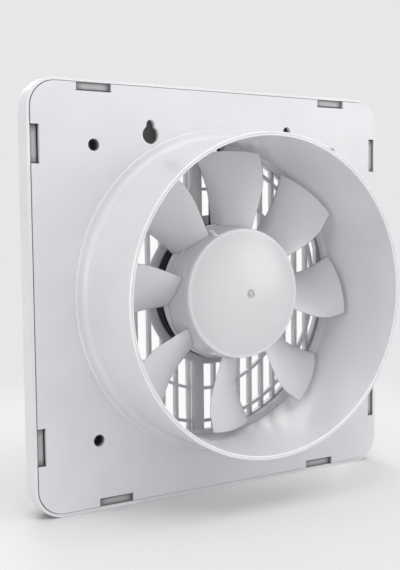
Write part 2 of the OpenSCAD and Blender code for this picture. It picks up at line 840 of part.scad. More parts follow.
function blade_ring(t) = concat(
    [for (i = [0 : section_points]) blade_point(t, i / section_points, -1)],
    [for (i = [section_points - 1 : -1 : 1]) blade_point(t, i / section_points, 1)]);

// Skin over a list of rings with the same number of points, closed at both ends
module skin(rings) {
    n = len(rings[0]);
    last = len(rings) - 1;
    polyhedron(
        points = [for (ring = rings) for (p = ring) p],
        faces = concat(
            [for (i = [1 : n - 2]) [0, i + 1, i]],
            [for (i = [1 : n - 2]) [last * n, last * n + i, last * n + i + 1]],
            [for (k = [0 : last - 1]) for (i = [0 : n - 1])
                [k * n + i, k * n + (i + 1) % n, (k + 1) * n + i]],
            [for (k = [0 : last - 1]) for (i = [0 : n - 1])
                [k * n + (i + 1) % n, (k + 1) * n + (i + 1) % n, (k + 1) * n + i]]));
}

module blade() {
    skin([for (k = [0 : blade_stations]) blade_ring(k / blade_stations)]);
}

// Hub: stepped skirt, rounded shoulder and a shallow dome
shoulder_top_r = shoulder_d / 2;
dome_r = shoulder_top_r - 0.66 * shoulder_r;
dome_rise = nose_y + shoulder_z - 0.8 * shoulder_r;

// Depth of the dome's outer face at radius r
function dome_z(r) = -nose_y + 0.9 * dome_rise * pow(r / dome_r, 2.2);

module hub_shell() {
    skirt_r = hub_d / 2;
    edge_r = shoulder_top_r - shoulder_r;
    outer = concat(
        [[hub_bore_r, skirt_z], [skirt_r, skirt_z], [skirt_r, skirt_step_z],
         [skirt_r - skirt_step, skirt_step_z - skirt_step / 2],
         [skirt_r - skirt_step, skirt_second_z],
         [skirt_r - 1.6 * skirt_step, skirt_second_z - skirt_step / 2],
         [shoulder_top_r, shoulder_z]],
        [for (t = [15 : 15 : 60]) [edge_r + shoulder_r * cos(t), shoulder_z - 0.8 * shoulder_r * sin(t)]],
        [for (u = [0.95 : -0.13 : 0.04]) [dome_r * u, dome_z(dome_r * u)]],
        [[0, -nose_y]]);
    inner = concat([[0, hub_wall - nose_y]],
        [for (u = [0.15 : 0.15 : 0.91]) [(edge_r - hub_wall / 2) * u,
            hub_wall - nose_y + 0.95 * dome_rise * pow(u, 2.2)]],
        [[edge_r + 0.3 * shoulder_r, shoulder_z - 0.55 * shoulder_r],
         [shoulder_top_r - hub_wall, shoulder_z + 0.25 * shoulder_r],
         [hub_bore_r - skirt_step, skirt_second_z], [hub_bore_r, skirt_step_z]]);
    rotate_extrude() polygon(concat(outer, inner));
}

// Stiffening rib inside the dome, standing on the dome's mid wall
module hub_rib() {
    start = hub_boss_d / 2 - over;
    end = dome_r - hub_wall;
    translate([0, hub_rib_t / 2, 0])
        rotate([90, 0, 0])
            linear_extrude(height = hub_rib_t)
                polygon(concat([[start, hub_boss_z]],
                    [for (t = [0 : 0.25 : 1]) let (r = start + (end - start) * t)
                        [r, dome_z(r) + hub_wall / 2]],
                    [[end, hub_boss_z]]));
}

module impeller() {
    boss_end = hub_wall / 2 - nose_y;
    color([0.9, 0.9, 0.91]) upright()
        difference() {
            union() {
                hub_shell();
                translate([0, 0, boss_end]) cylinder(d = hub_boss_d, h = hub_boss_z - boss_end);
                for (i = [0 : hub_rib_count - 1])
                    rotate((i + 0.5) * 360 / hub_rib_count) hub_rib();
                for (i = [0 : blade_count - 1])
                    rotate(blade_phase + i * 360 / blade_count) blade();
            }
            translate([0, 0, shaft_tip_z]) cylinder(d = insert_d, h = hub_boss_z - shaft_tip_z + over);
            difference() {
                translate([0, 0, -nose_y - over]) cylinder(d = gate_d, h = gate_depth + over);
                translate([0, 0, -nose_y]) cylinder(d = gate_pip_d, h = gate_depth + over);
            }
        }
}

module hub_insert() {
    color([0.8, 0.66, 0.35]) upright() ring(shaft_d / 2, insert_d / 2, shaft_tip_z, hub_boss_z);
}

// Two-pole terminal block with its funnels and screw wells
function pole_x(s) = bay_x + s * block_w / 4;
function well_y(s) = block_y + block_l / 2 + s * well_pitch_y / 2;

module terminal_block() {
    floor_z = plate_t;
    top = floor_z + block_h;
    color([0.2, 0.2, 0.21]) upright()
        difference() {
            union() {
                block([bay_x - block_w / 2, block_y, floor_z],
                    [bay_x + block_w / 2, block_y + block_l, top - well_d / 2]);
                for (s = [-1, 1])
                    block([pole_x(s) - well_d / 2 - loose, block_y + well_d / 2, floor_z],
                        [pole_x(s) + well_d / 2 + loose, block_y + block_l - well_d / 2, top]);
            }
            for (s = [-1, 1], e = [-1, 1])
                translate([pole_x(s), well_y(e), lead_low_z])
                    cylinder(d = well_d, h = block_h);
            for (s = [-1, 1])
                translate([pole_x(s), block_y - over, lead_low_z])
                    rotate([-90, 0, 0]) cylinder(d = funnel_d, h = well_pitch_y);
        }
}

module terminal_screws() {
    color([0.8, 0.68, 0.38]) upright()
        for (s = [-1, 1], e = [-1, 1])
            translate([pole_x(s), well_y(e), lead_low_z])
                difference() {
                    cylinder(d = terminal_screw_d, h = terminal_screw_h);
                    translate([0, 0, terminal_screw_h])
                        cube([terminal_screw_d * 2, terminal_screw_d / 5, terminal_screw_h / 2],
                            center = true);
                }
}

module cable_clamp() {
    z = plate_t + post_h;
    color([0.86, 0.86, 0.87]) upright()
        difference() {
            union() {
                translate([bay_x - clamp_span / 2, clamp_y, z]) cylinder(d = clamp_w, h = clamp_t);
                translate([bay_x + clamp_span / 2, clamp_y, z]) cylinder(d = clamp_w, h = clamp_t);
                block([bay_x - clamp_span / 2, clamp_y - clamp_w / 2, z],
                    [bay_x + clamp_span / 2, clamp_y + clamp_w / 2, z + clamp_t]);
            }
            translate([bay_x, clamp_y - clamp_w, z - clamp_arch_d / 4])
                rotate([-90, 0, 0]) cylinder(d = clamp_arch_d, h = 2 * clamp_w);
            for (s = [-1, 1])
                translate([bay_x + s * clamp_span / 2, clamp_y, z - over])
                    cylinder(d = clamp_screw_d, h = clamp_t + 2 * over);
        }
}

module clamp_screws() {
    z = plate_t + post_h + clamp_t;
    color([0.72, 0.72, 0.74]) upright()
        for (s = [-1, 1])
            translate([bay_x + s * clamp_span / 2, clamp_y, 0])
                pan_screw(z, clamp_t + post_h / 2, clamp_screw_d, clamp_w - loose, screw_head_h / 2);
}

module cable_grommet() {
    neck = entry_d / 2;
    color([0.16, 0.16, 0.17]) upright()
        translate([bay_x, entry_y, 0])
            rotate_extrude()
                polygon([[grommet_bore_d / 2, 0], [neck, 0], [neck, plate_t], [neck + grommet_lip, plate_t],
                    [neck + grommet_lip, plate_t + grommet_lip_t / 2],
                    [neck, plate_t + grommet_lip_t], [grommet_bore_d / 2, plate_t + grommet_lip_t]]);
}

module wiring_cover() {
    z = plate_t + bay_h;
    rib_in = plate_x - notch_w - plate_rib_inset - plate_rib_t;
    color([0.86, 0.86, 0.87]) upright()
        difference() {
            block([-rib_in, bay_low_y, z], [bay_in_x, bay_top_y, z + lid_t]);
            translate([bay_x, lid_screw_y, z - over])
                cylinder(d = screw_core_d + 2 * screw_clear, h = lid_t + 2 * over);
            for (i = [1 : lid_groove_count])
                translate([0, bay_low_y + lid_groove_inset + lid_groove_pitch * i, 0])
                    block([-rib_in + lid_groove_inset, 0, z + lid_t / 2],
                        [bay_in_x - lid_groove_inset, lid_groove_w, z + lid_t + over]);
        }
}

module wiring_cover_screw() {
    z = plate_t + bay_h + lid_t;
    color([0.72, 0.72, 0.74]) upright()
        translate([bay_x, lid_screw_y, 0])
            pan_screw(z, lid_t + bay_h / 2, screw_core_d, screw_head_d - loose, screw_head_h);
}

// Round tube swept along a route
function unit(v) = v / norm(v);
function heading(p, i) = unit(p[min(i + 1, len(p) - 1)] - p[max(i - 1, 0)]);
function tube_ring(c, d, r) =
    let (side = unit(cross(d, [0, 0, 1])), up = cross(side, d))
    [for (k = [0 : lead_sides - 1]) c + r * (cos(k * 360 / lead_sides) * side
        + sin(k * 360 / lead_sides) * up)];

module lead(route) {
    skin([for (i = [0 : len(route) - 1]) tube_ring(route[i], heading(route, i), lead_d / 2)]);
}

function collar_run(r, from, to) =
    [for (a = [from : ring_step : to]) [r * cos(a), r * sin(a), lead_z]];
function block_entry(s, turn) = concat(
    [for (p = turn) [pole_x(s) + p[0], p[1], p[2]]],
    [[pole_x(s), block_y + block_l, lead_low_z]]);

module live_lead() {
    start = [[lead_x, fuse_y + fuse_l, lead_z], [lead_x, fuse_y + 2 * fuse_l, lead_z]];
    color([0.45, 0.25, 0.15]) upright()
        lead(concat(start, live_turn, collar_run(live_ring_r, live_from, live_to),
            block_entry(-1, live_entry)));
}

module neutral_lead() {
    start = [[-lead_x, fuse_y + fuse_l / 2, lead_z], [-lead_x, fuse_y + 2 * fuse_l, lead_z]];
    color([0.2, 0.35, 0.65]) upright()
        lead(concat(start, neutral_turn, collar_run(neutral_ring_r, neutral_from, neutral_to),
            block_entry(1, neutral_entry)));
}

back_housing();
front_cover();
motor_bracket();
bracket_screws();
motor_rear_shell();
motor_front_shell();
through_bolts();
stator_core();
coil_bobbins();
stator_windings();
thermal_fuse();
rotor();
motor_shaft();
front_bush();
rear_bush();
thrust_washers();
retaining_clip();
bearing_cap();
motor_screws();
motor_grommets();
impeller();
hub_insert();
terminal_block();
terminal_screws();
cable_clamp();
clamp_screws();
cable_grommet();
wiring_cover();
wiring_cover_screw();
live_lead();
neutral_lead();
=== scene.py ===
# %% [markdown]
# # A wall and window exhaust fan, seen from its duct side
# The object is a square plastic fan for a 150 mm round duct: a wall plate with a long round
# spigot, a front cover with a barred grille, and a small black motor that carries a white
# eight-blade impeller. The solids come ready made, so this lesson is about dressing them:
# placing a camera, lighting pale plastic softly, making each finish from nodes, and adding the
# few pieces that are finer than the solids: the hub's cap, the leads and the coils.

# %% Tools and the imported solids
import json
import math
import bmesh
import bpy
from mathutils import Euler, Matrix, Vector


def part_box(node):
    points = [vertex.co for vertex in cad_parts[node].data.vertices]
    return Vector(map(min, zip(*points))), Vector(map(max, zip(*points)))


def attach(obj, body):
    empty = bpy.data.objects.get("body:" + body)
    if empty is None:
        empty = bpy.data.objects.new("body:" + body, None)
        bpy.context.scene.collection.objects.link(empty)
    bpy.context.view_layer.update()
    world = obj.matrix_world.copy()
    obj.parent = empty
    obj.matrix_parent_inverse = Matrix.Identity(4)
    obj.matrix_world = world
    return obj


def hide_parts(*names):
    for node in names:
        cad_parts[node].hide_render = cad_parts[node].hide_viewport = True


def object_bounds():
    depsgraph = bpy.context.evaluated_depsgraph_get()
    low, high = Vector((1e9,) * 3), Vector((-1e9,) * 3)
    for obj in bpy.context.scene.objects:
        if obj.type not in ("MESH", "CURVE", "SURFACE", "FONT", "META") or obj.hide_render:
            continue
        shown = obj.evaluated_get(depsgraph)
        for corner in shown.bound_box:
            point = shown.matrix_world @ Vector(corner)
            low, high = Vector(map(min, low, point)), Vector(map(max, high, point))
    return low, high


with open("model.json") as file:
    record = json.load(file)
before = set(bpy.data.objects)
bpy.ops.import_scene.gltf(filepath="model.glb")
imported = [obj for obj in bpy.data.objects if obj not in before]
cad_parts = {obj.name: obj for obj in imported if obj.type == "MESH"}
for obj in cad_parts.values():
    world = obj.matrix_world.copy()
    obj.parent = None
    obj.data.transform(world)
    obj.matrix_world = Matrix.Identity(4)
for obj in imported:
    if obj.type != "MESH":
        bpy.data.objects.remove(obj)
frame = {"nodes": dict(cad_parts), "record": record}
solids = frame["nodes"]
cad_low, cad_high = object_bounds()
mm = 0.001
print("solids:", len(solids), "box in mm:", [round(v / mm, 1) for v in cad_high - cad_low])

# %% [markdown]
# ## The camera
# The photograph looks at the back of the fan from the left, a little above its middle, so the
# spigot points past the lens and hides part of the plate. A camera can be aimed with a tracking
# constraint, but here its place and its three angles are written out, because a pale, round
# object shows an error of half a degree at once. The lens follows from the angle of view and
# the long side of the picture.

# %% Camera at the photograph's viewpoint
picture_width, picture_height = 400, 570
focal_pixels = 896.4
camera_place = Vector((239.54, 377.62, 35.28)) * mm
camera_degrees = (85.883, 0.614, 149.051)


def into_scene(name, data):
    thing = bpy.data.objects.new(name, data)
    bpy.context.scene.collection.objects.link(thing)
    return thing


camera_data = bpy.data.cameras.new("studio_camera")
camera_data.sensor_width = 36.0
camera_data.lens = focal_pixels / picture_height * camera_data.sensor_width
camera_data.clip_start, camera_data.clip_end = 0.01, 30.0
camera = into_scene("studio_camera", camera_data)
camera_turn = Euler([math.radians(a) for a in camera_degrees]).to_matrix()
camera.matrix_world = Matrix.Translation(camera_place) @ camera_turn.to_4x4()
bpy.context.scene.camera = camera
bpy.context.scene.view_settings.view_transform = "Standard"
print("lens:", round(camera_data.lens, 2), "mm, distance:", round(camera_place.length, 3), "m")

# %% [markdown]
# ## The light
# White plastic needs light from nearly everywhere, with one side a little stronger so that the
# round forms still turn. Bare lamps would leave hard shadows, so the light comes from four round
# panels: a big one overhead, one on the right that fills the tube, a small one low on the left
# for the spigot's side, and a small one on the room side for the cover's front. An even white
# world lifts what is left. The levels add up to about one, so that a colour renders as it is
# written, and nothing clips.

# %% Four soft panels
def soft_panel(name, place, aim, size, power):
    data = bpy.data.lights.new(name, "AREA")
    data.shape = "DISK"
    data.size = size
    data.energy = power
    panel = into_scene(name, data)
    panel.location = place
    panel.rotation_euler = (Vector(aim) - Vector(place)).to_track_quat("-Z", "Y").to_euler()
    print("panel", name, size, "m across,", power, "W")


soft_panel("overhead_panel", (0.05, 0.35, 1.25), aim=(0.0, 0.05, 0.0), size=1.3, power=7.9)
soft_panel("side_panel", (-0.95, 0.95, 0.35), aim=(0.0, 0.03, 0.0), size=0.9, power=4.6)
soft_panel("left_panel", (1.05, 0.55, 0.14), aim=(0.0, 0.03, 0.0), size=0.5, power=2.7)
soft_panel("room_panel", (-0.20, -1.00, 0.42), aim=(0.0, 0.0, 0.0), size=0.5, power=3.2)

# %% [markdown]
# ## Helpers for nodes
# The backdrop and every finish are small programs made of nodes. Wiring them one by one is slow
# to read, so a few helpers say what a step does: make a node, link two sockets, feed a socket
# with a link or a plain value, calculate, and turn a measure into a smooth share.

# %% Helpers that every node tree uses
def new_node(tree, kind, **values):
    node = tree.nodes.new(kind)
    for key, value in values.items():
        setattr(node, key, value)
    return node


def link(tree, source, socket):
    tree.links.new(source, socket)


def feed(tree, value, socket):
    """Links another node's output to a socket, or sets the socket to a plain value."""
    if isinstance(value, bpy.types.NodeSocket):
        link(tree, value, socket)
    else:
        socket.default_value = value


def calculate(tree, operation, *values):
    node = new_node(tree, "ShaderNodeMath", operation=operation)
    for value, socket in zip(values, node.inputs):
        feed(tree, value, socket)
    return node.outputs[0]


def vector_step(tree, operation, output, *values):
    """One step of vector arithmetic, whose result is its Vector or its Value output."""
    node = new_node(tree, "ShaderNodeVectorMath", operation=operation)
    for value, socket in zip(values, node.inputs):
        feed(tree, value, socket)
    return node.outputs[output]


def scaled(tree, colour, factor):
    node = new_node(tree, "ShaderNodeVectorMath", operation="SCALE")
    feed(tree, colour, node.inputs[0])
    feed(tree, factor, node.inputs["Scale"])
    return node.outputs["Vector"]


print("steps of arithmetic, scaling and links are ready")

# %% Smooth shares and mixed colours
def smooth_range(tree, source, low, high, out_low=0.0, out_high=1.0):
    """Goes smoothly from out_low to out_high while the source goes from low to high."""
    ramp = new_node(tree, "ShaderNodeMapRange", interpolation_type="SMOOTHSTEP")
    ramp.inputs["From Min"].default_value = low
    ramp.inputs["From Max"].default_value = high
    ramp.inputs["To Min"].default_value = out_low
    ramp.inputs["To Max"].default_value = out_high
    link(tree, source, ramp.inputs["Value"])
    return ramp.outputs["Result"]


def mix_colour(tree, share, first, second):
    mix = new_node(tree, "ShaderNodeMix", data_type="RGBA")
    feed(tree, share, mix.inputs[0])
    feed(tree, first, mix.inputs[6])
    feed(tree, second, mix.inputs[7])
    return mix.outputs[2]


def mix_shader(tree, share, first, second):
    mix = new_node(tree, "ShaderNodeMixShader")
    for source, socket in zip((share, first, second), mix.inputs):
        link(tree, source, socket)
    return mix.outputs[0]


def seen_directly(tree):
    """1 for what the camera sees, plainly or by way of gloss or glass, and 0 for light."""
    path = new_node(tree, "ShaderNodeLightPath")
    share = path.outputs["Is Camera Ray"]
    for ray in ("Is Glossy Ray", "Is Transmission Ray"):
        share = calculate(tree, "MAXIMUM", share, path.outputs[ray])
    return share


print("ranges and mixes are ready")

# %% [markdown]
# ## The backdrop
# Behind the grille the photograph is pure white, while the paper round the fan is a light grey.
# One backdrop can do both: a painted pool of white light lies in the room, in front of the grille,
# and from this side only the grille looks into it. The world carries the part above the horizon
# and the floor the part below it. Both show these colours only where the camera sees them,
# plainly or by way of gloss or glass, so the pool is painted light that lights nothing. What the
# object itself gets from the world is an even white glow.

# %% Where the white pool lies
paper_grey = (0.80, 0.80, 0.81, 1.0)
# the painted pool of white light, seen only by the camera
painted_pool_white = (0.96, 0.96, 0.965, 1.0)
tube_middle_column = 232
aside_share = (tube_middle_column - picture_width / 2) / focal_pixels
camera_right, camera_back = camera_turn.col[0], camera_turn.col[2]
view_line = (camera_right * aside_share - camera_back).normalized()
pool_inner, pool_outer = math.radians(7.6), math.radians(10.6)
print("pool of white", round(math.degrees(pool_outer) * 2, 1), "degrees wide")

# %% The world
glow_level = 0.645

world = bpy.data.worlds.new("studio_world")
world.use_nodes = True
bpy.context.scene.world = world
tree = world.node_tree
tree.nodes.clear()
heading = new_node(tree, "ShaderNodeTexCoord").outputs["Generated"]
toward_pool = vector_step(tree, "DOT_PRODUCT", "Value", heading, view_line)
pool = smooth_range(tree, toward_pool, math.cos(pool_outer), math.cos(pool_inner))
shown = new_node(tree, "ShaderNodeBackground")
shown.inputs["Strength"].default_value = 1.0
link(tree, mix_colour(tree, pool, paper_grey, painted_pool_white), shown.inputs["Color"])
glow = new_node(tree, "ShaderNodeBackground")
glow.inputs["Color"].default_value = (1.0, 1.0, 1.0, 1.0)
glow.inputs["Strength"].default_value = glow_level
surface = mix_shader(tree, seen_directly(tree), glow.outputs[0], shown.outputs[0])
link(tree, surface, new_node(tree, "ShaderNodeOutputWorld").inputs["Surface"])
print("world glows at", glow_level, "of white")

# %% [markdown]
# ## The floor
# A studio stands such a fan on a long curved sheet of paper. Here a flat sheet is enough: close
# to the fan it is matte paper in the real light, so that it takes the fan's soft shadow, and
# further out it melts into the backdrop's grey, so that no horizon shows. The painted pool of
# white light goes on across it, as a wedge that starts behind the fan and widens away from the
# camera.

# %% A flat sheet just under the fan
floor_gap = 0.05 * mm
floor_size = 12.0

half = floor_size / 2
level = cad_low.z - floor_gap
floor_corners = [(x * half, y * half, level) for x, y in ((-1, -1), (1, -1), (1, 1), (-1, 1))]
floor_mesh = bpy.data.meshes.new("studio_floor")
floor_mesh.from_pydata(floor_corners, [], [(0, 1, 2, 3)])
floor = into_scene("studio_floor", floor_mesh)
print("floor at", round(level / mm, 2), "mm")

# %% Paper that fades into the backdrop
matte_white = (0.765, 0.765, 0.772, 1.0)
fade_from, fade_to = 0.19, 0.40
floor_pool_inner, floor_pool_outer = math.radians(6.6), math.radians(9.2)
pool_start, pool_full = 0.40, 0.56

paper = bpy.data.materials.new("studio_paper")
paper.use_nodes = True
tree = paper.node_tree
tree.nodes.clear()
spot = new_node(tree, "ShaderNodeTexCoord").outputs["Object"]
far = smooth_range(tree, vector_step(tree, "LENGTH", "Value", spot), fade_from, fade_to)

# the wedge lies round the line that runs under the camera and out through the grille
flat_line = Vector((view_line.x, view_line.y, 0.0)).normalized()
flat_side = Vector((-flat_line.y, flat_line.x, 0.0))
below_camera = Vector((camera_place.x, camera_place.y, 0.0))
from_camera = vector_step(tree, "SUBTRACT", "Vector", spot, below_camera)
ahead = vector_step(tree, "DOT_PRODUCT", "Value", from_camera, flat_line)
aside = vector_step(tree, "DOT_PRODUCT", "Value", from_camera, flat_side)
off_line = calculate(tree, "ABSOLUTE", calculate(tree, "DIVIDE", aside, ahead))
in_wedge = smooth_range(tree, off_line, math.tan(floor_pool_outer), math.tan(floor_pool_inner))
behind_fan = smooth_range(tree, ahead, pool_start, pool_full)
wedge = calculate(tree, "MULTIPLY", in_wedge, behind_fan)

# to the camera the floor glows: backdrop grey, and the painted pool of white light in the wedge
shown = new_node(tree, "ShaderNodeEmission")
link(tree, mix_colour(tree, wedge, paper_grey, painted_pool_white), shown.inputs["Color"])
matte = new_node(tree, "ShaderNodeBsdfDiffuse")
matte.inputs["Color"].default_value = matte_white
unlit = calculate(tree, "MULTIPLY", calculate(tree, "MAXIMUM", far, wedge), seen_directly(tree))
surface = mix_shader(tree, unlit, matte.outputs[0], shown.outputs[0])
link(tree, surface, new_node(tree, "ShaderNodeOutputMaterial").inputs["Surface"])
floor_mesh.materials.append(paper)
print("paper fades from", fade_from, "to", fade_to, "m away from the fan's axis")

# %% [markdown]
# ## Moulded plastic
# Nearly all that shows is injection-moulded plastic. Up close it isn't one flat white: the
# surface has a fine spark texture, and the tone drifts slightly from thick to thin places. The
# edges get a painted highlight, a touch lighter than the faces. A photograph of plastic wrapped
# round the pieces would need their surfaces unfolded, so noise in the object's own coordinates
# is used instead: it is in metres, and its grain has the same size on every piece. Small edge
# radii that the solids leave out are rounded in the shading alone.

# %% What every finish starts from
def start_material(name, colour):
    """A new material, its tree and shader, and the place of each of its points."""
    material = bpy.data.materials.new(name)
    material.use_nodes = True
    material.diffuse_color = colour
    tree = material.node_tree
    place = new_node(tree, "ShaderNodeTexCoord").outputs["Object"]
    return material, tree, tree.nodes["Principled BSDF"], place


def noise(tree, place, scale, detail=2.0, roughness=0.5):
    node = new_node(tree, "ShaderNodeTexNoise")
    node.inputs["Scale"].default_value = scale
    node.inputs["Detail"].default_value = detail
    node.inputs["Roughness"].default_value = roughness
    link(tree, place, node.inputs["Vector"])
    return node.outputs["Fac"]


def shade(colour, factor):
    return tuple(min(1.0, c * factor) for c in colour[:3]) + (1.0,)


def rounded_edges(tree, radius):
    """The surface's direction, as if its sharp edges had a radius in mm."""
    bevel = new_node(tree, "ShaderNodeBevel", samples=4)
    bevel.inputs["Radius"].default_value = radius * mm
    return bevel.outputs["Normal"]


def press_in(tree, shader, height, depth, strength, rounded):
    """Presses a pattern of heights into the surface, to a depth in mm, and rounds its edges."""
    bump = new_node(tree, "ShaderNodeBump")
    bump.inputs["Strength"].default_value = strength
    bump.inputs["Distance"].default_value = depth * mm
    link(tree, height, bump.inputs["Height"])
    link(tree, rounded, bump.inputs["Normal"])
    link(tree, bump.outputs["Normal"], shader.inputs["Normal"])


print("noise, rounded edges and pressed patterns are ready")

# %% [markdown]
# ## Painted shade, painted highlights and a gate's mark
# Three things set one white moulding apart from the next. Narrow holes and gaps get painted
# shade inside, darker than soft studio light alone makes them. The place where the plastic
# entered the mould leaves a faint disc. And past a place along the duct a piece is painted
# lighter, a painted highlight on a lip or rim, or darker, a painted shade on a dome. Each could be
# painted by hand, but a measure does it on any solid: how closed in a point is, how far it lies
# from a middle, or how far out along the duct.

# %% Painted shade in holes, the gate's disc and painted light along the axis
def painted_hollow_shade(tree, place, colour, reach, darkest, closed, opened, depths):
    """Darkens a colour down to a darkest tone where other surfaces stand close round it.

    What lies within a reach in mm counts, and closed and opened are the shares of open space at
    which the darkening is full and gone. Each pair in depths gives, in mm behind the wall
    plate's face, where the darkening is full and where there is none.
    """
    # painted shade: the darkening stands in for the shade in hollows and narrow gaps
    hollow = new_node(tree, "ShaderNodeAmbientOcclusion", samples=8)
    hollow.inputs["Distance"].default_value = reach * mm
    openness = smooth_range(tree, hollow.outputs["AO"], closed, opened, darkest, 1.0)
    for full, none in depths:
        axes = new_node(tree, "ShaderNodeSeparateXYZ")
        link(tree, place, axes.inputs[0])
        outside = smooth_range(tree, axes.outputs["Y"], -full * mm, -none * mm)
        openness = calculate(tree, "MAXIMUM", openness, outside)
    return scaled(tree, colour, openness)


def gate_disc(tree, place, colour, middle, radius, rim_share=0.93, tone=0.92, strength=0.5):
    """A faint, slightly darker disc with a soft rim."""
    away = vector_step(tree, "DISTANCE", "Value", place, middle)
    inside = smooth_range(tree, away, radius, radius * rim_share, 0.0, strength)
    return mix_colour(tree, inside, colour, scaled(tree, colour, tone))


def painted_light_band(tree, place, colour, start, over, factor):
    """Makes a piece lighter or darker from a place along the duct's axis on."""
    # painted light: a painted highlight where the factor is above one, a painted shade below it
    axes = new_node(tree, "ShaderNodeSeparateXYZ")
    link(tree, place, axes.inputs[0])
    tone = smooth_range(tree, axes.outputs["Y"], start, start + over, 1.0, factor)
    return scaled(tree, colour, tone)


print("marks for holes, gate and lips are ready")

# %% The builder for moulded plastic
drift_up_share = 0.6
# how strongly the painted highlight on edges is mixed in, and how much lighter it is
highlight_mix, highlight_tone = 4, 2


def moulded_plastic(name, colour, roughness, grain=1400.0, grain_depth=0.012, drift=0.035,
                    edge_highlight=0.05, edge_radius=0.35, holes=None, mark=None, ends=()):
    """Grain is a noise scale, grain_depth and edge_radius are in mm, the rest are shares."""
    material, tree, shader, place = start_material(name, colour)
    drifted = smooth_range(tree, noise(tree, place, scale=28.0, detail=3.0), low=0.3, high=0.7)
    tint = mix_colour(tree, drifted, shade(colour, 1.0 - drift),
                      shade(colour, 1.0 + drift * drift_up_share))
    rounded = rounded_edges(tree, edge_radius)
    # painted highlight on edges: where the rounded direction turns from the flat one, the colour
    # is lightened
    flat = new_node(tree, "ShaderNodeNewGeometry").outputs["Normal"]
    same_way = vector_step(tree, "DOT_PRODUCT", "Value", rounded, flat)
    edge_highlight_share = smooth_range(tree, same_way, low=0.995, high=0.8, out_high=edge_highlight * highlight_mix)
    tint = mix_colour(tree, edge_highlight_share, tint, shade(colour, 1.0 + edge_highlight * highlight_tone))
    if mark:
        tint = gate_disc(tree, place, tint, **mark)
    # painted highlights and painted shade past places along the duct's axis
    for end in ends:
        tint = painted_light_band(tree, place, tint, **end)
    # painted shade in holes and gaps
    if holes:
        tint = painted_hollow_shade(tree, place, tint, **holes)
    link(tree, tint, shader.inputs["Base Color"])
    rubbed = noise(tree, place, scale=160.0, detail=4.0, roughness=0.6)
    rub = smooth_range(tree, rubbed, low=0.25, high=0.75, out_low=roughness - 0.01,
                       out_high=roughness + 0.015)
    link(tree, rub, shader.inputs["Roughness"])
    press_in(tree, shader, noise(tree, place, grain), grain_depth, strength=0.35,
             rounded=rounded)
    shader.inputs["IOR"].default_value = 1.49
    return material


finishes = {}
print("plastic builder ready")

# %% [markdown]
# ## The white mouldings
# The housing and the impeller are fairly glossy, and the cover and the motor's bracket are a
# little more matte. They could share one material, but most of them have marks and painted light
# of their own. The housing has painted shade in its screw holes and keyholes, a gate's disc on the
# spigot's side and a painted highlight on the lip at the spigot's end. The cover has painted shade
# in the gaps beside its clip lugs. The impeller has painted shadows at the blades' roots, a
# painted highlight on the rim round its hub and painted shade on its dome.

# %% The housing's white
spigot_radius = 75.0 * mm
spigot_end = cad_high.y
gate_angle = math.radians(63)
gate_out = 9.2 * mm
gate_middle = Vector((spigot_radius * math.cos(gate_angle), gate_out,
                      spigot_radius * math.sin(gate_angle)))
finishes["housing_plastic"] = moulded_plastic(
    "housing_white", (0.700, 0.697, 0.718, 1), roughness=0.29,
    # painted shade deep in the screw holes and keyholes
    holes=dict(reach=10.0, darkest=0.03, closed=0.14, opened=0.4, depths=[(0.3, 0.18)]),
    mark=dict(middle=gate_middle, radius=4.0 * mm),
    # a painted highlight on the lip at the spigot's end
    ends=[dict(start=spigot_end - 0.8 * mm, over=0.3 * mm, factor=1.22)])
print("gate's disc at", [round(v / mm, 1) for v in gate_middle], "mm")

# %% The cover's, the bracket's and the impeller's white
hub_rim_start, hub_dome_start = 17.8 * mm, 19.1 * mm
finishes["cover_plastic"] = moulded_plastic(
    "cover_white", (0.760, 0.758, 0.777, 1), roughness=0.40,
    # painted shade in the gaps beside the clip lugs
    holes=dict(reach=4.0, darkest=0.25, closed=0.65, opened=1.04,
               depths=[(1.6, 0.96), (9.0, 11.0)]))
finishes["bracket_plastic"] = moulded_plastic("bracket_white", (0.72, 0.72, 0.735, 1),
                                             roughness=0.45)
finishes["impeller_plastic"] = moulded_plastic(
    "impeller_white", (0.708, 0.705, 0.724, 1), roughness=0.24, grain=900.0, grain_depth=0.006,
    drift=0.02, edge_highlight=0.08, edge_radius=0.45,
    # painted shadows at the blades' roots
    holes=dict(reach=1.6, darkest=0.62, closed=0.35, opened=0.95, depths=[]),
    # a painted highlight on the hub's rim, and painted shade on its dome
    ends=[dict(start=hub_rim_start, over=0.4 * mm, factor=1.08),
          dict(start=hub_dome_start, over=0.5 * mm, factor=0.87)])
print("white plastics:", sorted(finishes))

# %% [markdown]
# ## The other plastics
# The motor's shells are black. Further in, and behind the wall plate, there are nylon bobbins
# and washers, a dark terminal block, rubber grommets, a fuse in its sleeve and two insulated
# leads. A builder for each would repeat the same steps, so they use the one above: rubber only
# gets a duller, coarser skin, nylon a warm tone, and black plastic a stronger drift and a
# stronger painted highlight on its edges.

# %% Black, nylon, rubber and lead insulation
finishes["black_plastic"] = moulded_plastic("motor_black", (0.014, 0.014, 0.016, 1),
                                            roughness=0.42, grain=1100.0, grain_depth=0.02,
                                            drift=0.2, edge_highlight=0.3)
finishes["bobbin_nylon"] = moulded_plastic("bobbin_nylon", (0.70, 0.66, 0.54, 1),
                                           roughness=0.4)
finishes["washer_nylon"] = moulded_plastic("washer_nylon", (0.78, 0.76, 0.68, 1),
                                           roughness=0.4)
finishes["terminal_plastic"] = moulded_plastic("terminal_dark", (0.035, 0.035, 0.038, 1),
                                               roughness=0.5, edge_highlight=0.2)
finishes["rubber"] = moulded_plastic("grommet_rubber", (0.02, 0.02, 0.021, 1), roughness=0.68,
                                     grain=2200.0, grain_depth=0.03, drift=0.15)
finishes["lead_brown"] = moulded_plastic("lead_brown", (0.045, 0.024, 0.016, 1), roughness=0.42,
                                         grain=700.0, grain_depth=0.02)
